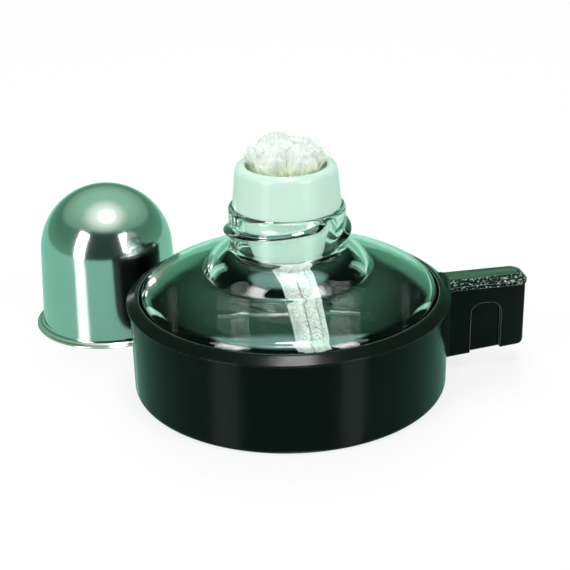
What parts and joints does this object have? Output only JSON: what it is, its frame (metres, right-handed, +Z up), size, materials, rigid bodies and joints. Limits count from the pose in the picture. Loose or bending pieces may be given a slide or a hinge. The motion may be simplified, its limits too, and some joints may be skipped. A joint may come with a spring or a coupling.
{
  "type": "spirit lamp",
  "caption": "Laboratory spirit lamp: flat glass reservoir in a moulded cup holder with a side handle, porcelain wick holder, frayed cord wick and a domed metal cap stood beside it.",
  "frame": {"origin": "on the lamp's axis, on the surface that it stands on", "axes": "+Z up along the lamp's axis, +X along the handle, away from the cup"},
  "size_m": [0.155, 0.1329, 0.0806],
  "materials": {
    "black_phenolic": "glossy moulded black",
    "clear_glass": "clear, smooth",
    "porcelain": "white glaze",
    "plated_sheet": "bright plated",
    "cotton": "raw cotton"
  },
  "bodies": {
    "holder": {"holder": "black_phenolic"},
    "reservoir": {"reservoir": "clear_glass"},
    "wick_holder": {"wick_holder": "porcelain"},
    "wick": {"wick_cord_1": "cotton", "wick_cord_2": "cotton", "wick_cord_3": "cotton", "wick_cord_4": "cotton", "wick_cord_5": "cotton", "wick_cord_6": "cotton", "wick_cord_7": "cotton"},
    "cap": {"cap": "plated_sheet"}
  },
  "joints": [
    {"name": "reservoir_lift", "type": "slide", "parent": "holder", "child": "reservoir", "axis": [0, 0, 1], "range_m": [0, 0.04]},
    {"name": "wick_holder_lift", "type": "slide", "parent": "reservoir", "child": "wick_holder", "axis": [0, 0, 1], "range_m": [0, 0.06]},
    {"name": "wick_raise", "type": "slide", "parent": "wick_holder", "child": "wick", "axis": [0, 0, 1], "range_m": [-0.002, 0.006]},
    {"name": "cap_lift", "type": "slide", "parent": "holder", "child": "cap", "axis": [0, 0, 1], "range_m": [0, 0.09]}
  ]
}
